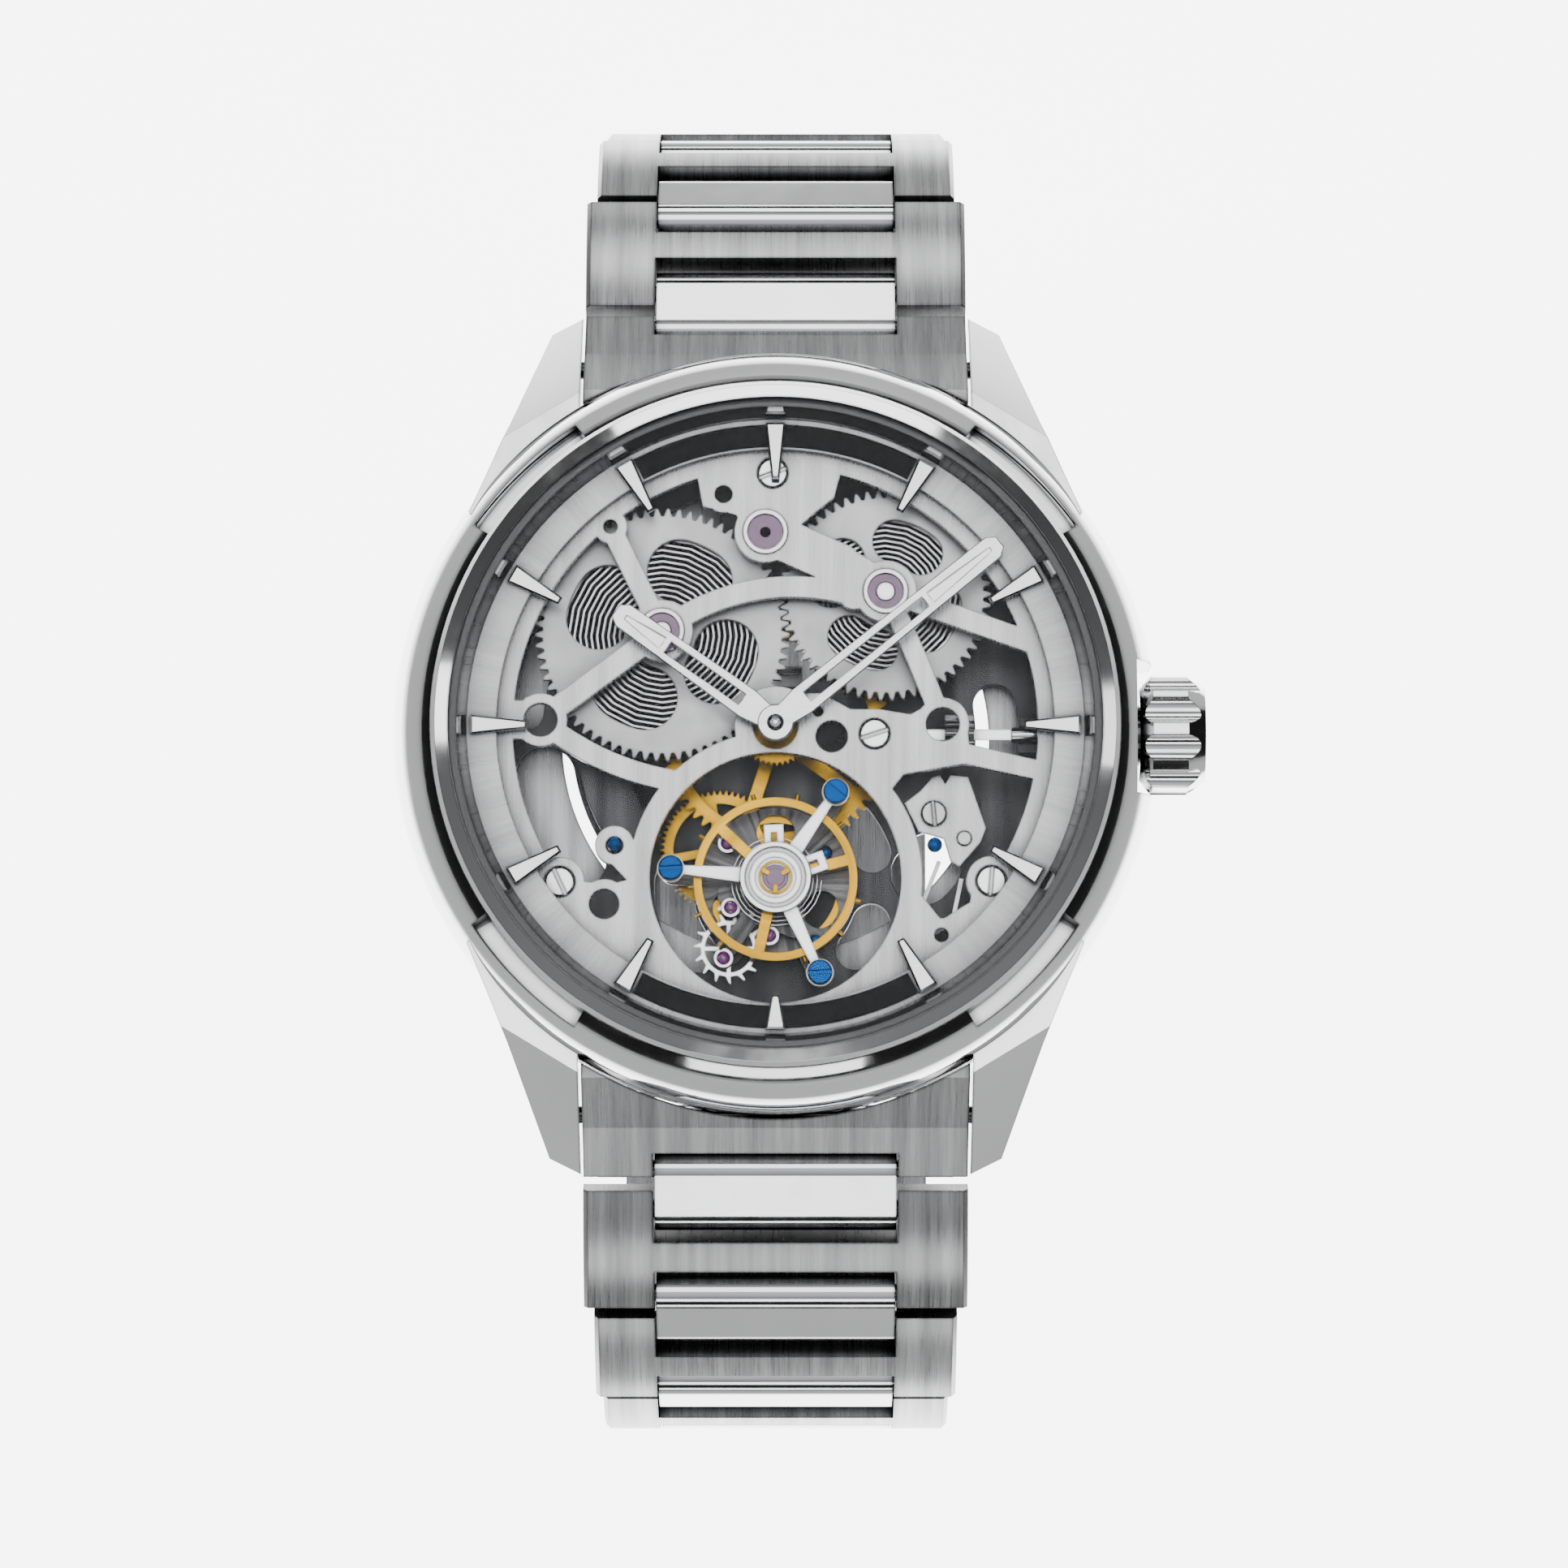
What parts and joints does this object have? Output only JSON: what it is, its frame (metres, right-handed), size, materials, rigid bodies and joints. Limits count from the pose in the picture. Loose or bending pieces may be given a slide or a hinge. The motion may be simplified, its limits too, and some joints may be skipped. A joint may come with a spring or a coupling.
{
  "type": "skeleton wristwatch",
  "caption": "Round steel skeleton wristwatch with an open dial, a turning tourbillon cage, two open spring barrels, a fluted crown and a link bracelet with a folding clasp.",
  "frame": {"origin": "middle of the case back's outer face", "axes": "+Z out of the dial, +Y towards 12 o'clock, +X towards the crown"},
  "size_m": [0.0459, 0.0776, 0.0513],
  "materials": {
    "polished_steel": "polished stainless steel",
    "brushed_steel": "brushed stainless steel",
    "plate_steel": "rhodium plated, straight brushed",
    "gold": "gilt, circular grained",
    "blued_screw": "flame blued, polished",
    "screw_steel": "polished steel",
    "ruby": "polished synthetic ruby",
    "sapphire": "clear sapphire",
    "marker": "polished, white filled",
    "spring_steel": "spring steel"
  },
  "bodies": {
    "case": {"case_middle": "brushed_steel", "bezel": "polished_steel", "crystal": "sapphire", "case_back": "brushed_steel", "case_back_crystal": "sapphire", "case_back_screws": "screw_steel", "crown_tube": "polished_steel", "dial_ring": "brushed_steel", "hour_markers": "marker", "main_plate": "plate_steel", "top_bridge": "plate_steel", "bridge_screws": "screw_steel", "jewels": "ruby", "jewel_settings": "polished_steel", "fixed_wheel": "gold", "setting_cover": "plate_steel", "setting_spring": "spring_steel", "mainsprings": "spring_steel", "barrel_arbors": "polished_steel", "end_link_upper": "brushed_steel", "end_link_lower": "brushed_steel", "spring_bars": "screw_steel"},
    "setting_clutch": {"sliding_pinion": "polished_steel"},
    "crown": {"crown": "polished_steel", "stem": "polished_steel"},
    "minute_arbor": {"minute_hand": "marker", "cannon_pinion": "polished_steel", "centre_wheel": "gold"},
    "hour_pipe": {"hour_hand": "marker", "hour_wheel": "gold"},
    "minute_wheel": {"minute_wheel": "plate_steel"},
    "third_wheel": {"third_wheel": "gold"},
    "barrel_left": {"barrel_left": "plate_steel"},
    "barrel_right": {"barrel_right": "plate_steel"},
    "cage": {"cage_floor": "polished_steel", "cage_roof": "polished_steel", "cage_screws": "blued_screw", "cage_jewel": "ruby"},
    "balance": {"balance_wheel": "gold", "balance_staff": "polished_steel", "hairspring": "spring_steel"},
    "escape_wheel": {"escape_wheel": "polished_steel"},
    "pallet_fork": {"pallet_fork": "polished_steel"},
    "clasp_shell": {"clasp_shell": "brushed_steel"},
    "clasp_blade_outer": {"clasp_blade_outer": "brushed_steel"},
    "clasp_blade_inner": {"clasp_blade_inner": "brushed_steel"},
    "upper_link_1": {"upper_link_1": "brushed_steel"},
    "upper_link_2": {"upper_link_2": "brushed_steel"},
    "upper_link_3": {"upper_link_3": "brushed_steel"},
    "upper_link_4": {"upper_link_4": "brushed_steel"},
    "upper_link_5": {"upper_link_5": "brushed_steel"},
    "upper_link_6": {"upper_link_6": "brushed_steel"},
    "upper_link_7": {"upper_link_7": "brushed_steel"},
    "lower_link_1": {"lower_link_1": "brushed_steel"},
    "lower_link_2": {"lower_link_2": "brushed_steel"},
    "lower_link_3": {"lower_link_3": "brushed_steel"},
    "lower_link_4": {"lower_link_4": "brushed_steel"},
    "lower_link_5": {"lower_link_5": "brushed_steel"},
    "lower_link_6": {"lower_link_6": "brushed_steel"},
    "lower_link_7": {"lower_link_7": "brushed_steel"}
  },
  "joints": [
    {"name": "cage_turn", "type": "hinge", "parent": "case", "child": "cage", "pos_m": [0, -0.0085, 0.005], "axis": [0, 0, 1], "continuous": true},
    {"name": "minute_turn", "type": "hinge", "parent": "case", "child": "minute_arbor", "pos_m": [0, 0, 0.005], "axis": [0, 0, 1], "continuous": true},
    {"name": "hour_turn", "type": "hinge", "parent": "case", "child": "hour_pipe", "pos_m": [0, 0, 0.005], "axis": [0, 0, 1], "continuous": true},
    {"name": "minute_wheel_turn", "type": "hinge", "parent": "case", "child": "minute_wheel", "pos_m": [0.0024, 0.00087, 0.005], "axis": [0, 0, 1], "continuous": true},
    {"name": "third_wheel_turn", "type": "hinge", "parent": "case", "child": "third_wheel", "pos_m": [-0.00315, -0.00648, 0.005], "axis": [0, 0, 1], "continuous": true},
    {"name": "barrel_left_turn", "type": "hinge", "parent": "case", "child": "barrel_left", "pos_m": [-0.0064, 0.00544, 0.005], "axis": [0, 0, 1], "continuous": true},
    {"name": "barrel_right_turn", "type": "hinge", "parent": "case", "child": "barrel_right", "pos_m": [0.0062, 0.00769, 0.005], "axis": [0, 0, 1], "continuous": true},
    {"name": "escape_turn", "type": "hinge", "parent": "cage", "child": "escape_wheel", "pos_m": [-0.00264, -0.01227, 0.005], "axis": [0, 0, 1], "continuous": true},
    {"name": "balance_swing", "type": "hinge", "parent": "cage", "child": "balance", "pos_m": [0, -0.0085, 0.005], "axis": [0, 0, 1], "range_deg": [-135, 135], "stiffness_Nm_per_rad": 0.0000003},
    {"name": "pallet_swing", "type": "hinge", "parent": "cage", "child": "pallet_fork", "pos_m": [-0.00132, -0.01038, 0.005], "axis": [0, 0, 1], "range_deg": [-5, 5]},
    {"name": "crown_turn", "type": "hinge", "parent": "case", "child": "setting_clutch", "pos_m": [0.01, 0, 0.0042], "axis": [1, 0, 0], "continuous": true},
    {"name": "crown_pull", "type": "slide", "parent": "setting_clutch", "child": "crown", "axis": [1, 0, 0], "range_m": [0, 0.0015]},
    {"name": "upper_hinge_1", "type": "hinge", "parent": "case", "child": "upper_link_1", "pos_m": [0, 0.0243, -0.0014], "axis": [1, 0, 0], "range_deg": [0, 18]},
    {"name": "upper_hinge_2", "type": "hinge", "parent": "upper_link_1", "child": "upper_link_2", "pos_m": [0, 0.03125, -0.00421], "axis": [1, 0, 0], "range_deg": [0, 18]},
    {"name": "upper_hinge_3", "type": "hinge", "parent": "upper_link_2", "child": "upper_link_3", "pos_m": [0, 0.03587, -0.01012], "axis": [1, 0, 0], "range_deg": [0, 18]},
    {"name": "upper_hinge_4", "type": "hinge", "parent": "upper_link_3", "child": "upper_link_4", "pos_m": [0, 0.03756, -0.01743], "axis": [1, 0, 0], "range_deg": [0, 18]},
    {"name": "upper_hinge_5", "type": "hinge", "parent": "upper_link_4", "child": "upper_link_5", "pos_m": [0, 0.03639, -0.02484], "axis": [1, 0, 0], "range_deg": [0, 18]},
    {"name": "upper_hinge_6", "type": "hinge", "parent": "upper_link_5", "child": "upper_link_6", "pos_m": [0, 0.03252, -0.03126], "axis": [1, 0, 0], "range_deg": [0, 18]},
    {"name": "upper_hinge_7", "type": "hinge", "parent": "upper_link_6", "child": "upper_link_7", "pos_m": [0, 0.02653, -0.03578], "axis": [1, 0, 0], "range_deg": [0, 18]},
    {"name": "lower_hinge_1", "type": "hinge", "parent": "case", "child": "lower_link_1", "pos_m": [0, -0.0243, -0.0014], "axis": [-1, 0, 0], "range_deg": [0, 18]},
    {"name": "lower_hinge_2", "type": "hinge", "parent": "lower_link_1", "child": "lower_link_2", "pos_m": [0, -0.03125, -0.00421], "axis": [-1, 0, 0], "range_deg": [0, 18]},
    {"name": "lower_hinge_3", "type": "hinge", "parent": "lower_link_2", "child": "lower_link_3", "pos_m": [0, -0.03587, -0.01012], "axis": [-1, 0, 0], "range_deg": [0, 18]},
    {"name": "lower_hinge_4", "type": "hinge", "parent": "lower_link_3", "child": "lower_link_4", "pos_m": [0, -0.03756, -0.01743], "axis": [-1, 0, 0], "range_deg": [0, 18]},
    {"name": "lower_hinge_5", "type": "hinge", "parent": "lower_link_4", "child": "lower_link_5", "pos_m": [0, -0.03639, -0.02484], "axis": [-1, 0, 0], "range_deg": [0, 18]},
    {"name": "lower_hinge_6", "type": "hinge", "parent": "lower_link_5", "child": "lower_link_6", "pos_m": [0, -0.03252, -0.03126], "axis": [-1, 0, 0], "range_deg": [0, 18]},
    {"name": "lower_hinge_7", "type": "hinge", "parent": "lower_link_6", "child": "lower_link_7", "pos_m": [0, -0.02653, -0.03578], "axis": [-1, 0, 0], "range_deg": [0, 18]},
    {"name": "clasp_hinge", "type": "hinge", "parent": "upper_link_7", "child": "clasp_shell", "pos_m": [0, 0.0194, -0.0381], "axis": [1, 0, 0], "range_deg": [0, 18]},
    {"name": "clasp_fold_outer", "type": "hinge", "parent": "clasp_shell", "child": "clasp_blade_outer", "pos_m": [0, -0.0162, -0.0381], "axis": [1, 0, 0], "range_deg": [0, 105]},
    {"name": "clasp_fold_inner", "type": "hinge", "parent": "clasp_blade_outer", "child": "clasp_blade_inner", "pos_m": [0, 0.0138, -0.0378], "axis": [-1, 0, 0], "range_deg": [0, 105]}
  ],
  "couplings": [
    {"joint": "minute_turn", "follows": "cage_turn", "ratio": 0.016667},
    {"joint": "hour_turn", "follows": "cage_turn", "ratio": 0.0013889},
    {"joint": "minute_wheel_turn", "follows": "cage_turn", "ratio": -0.0055556},
    {"joint": "third_wheel_turn", "follows": "cage_turn", "ratio": -0.13333},
    {"joint": "barrel_left_turn", "follows": "cage_turn", "ratio": -0.0033333},
    {"joint": "barrel_right_turn", "follows": "cage_turn", "ratio": 0.004023},
    {"joint": "escape_turn", "follows": "cage_turn", "ratio": 10}
  ]
}
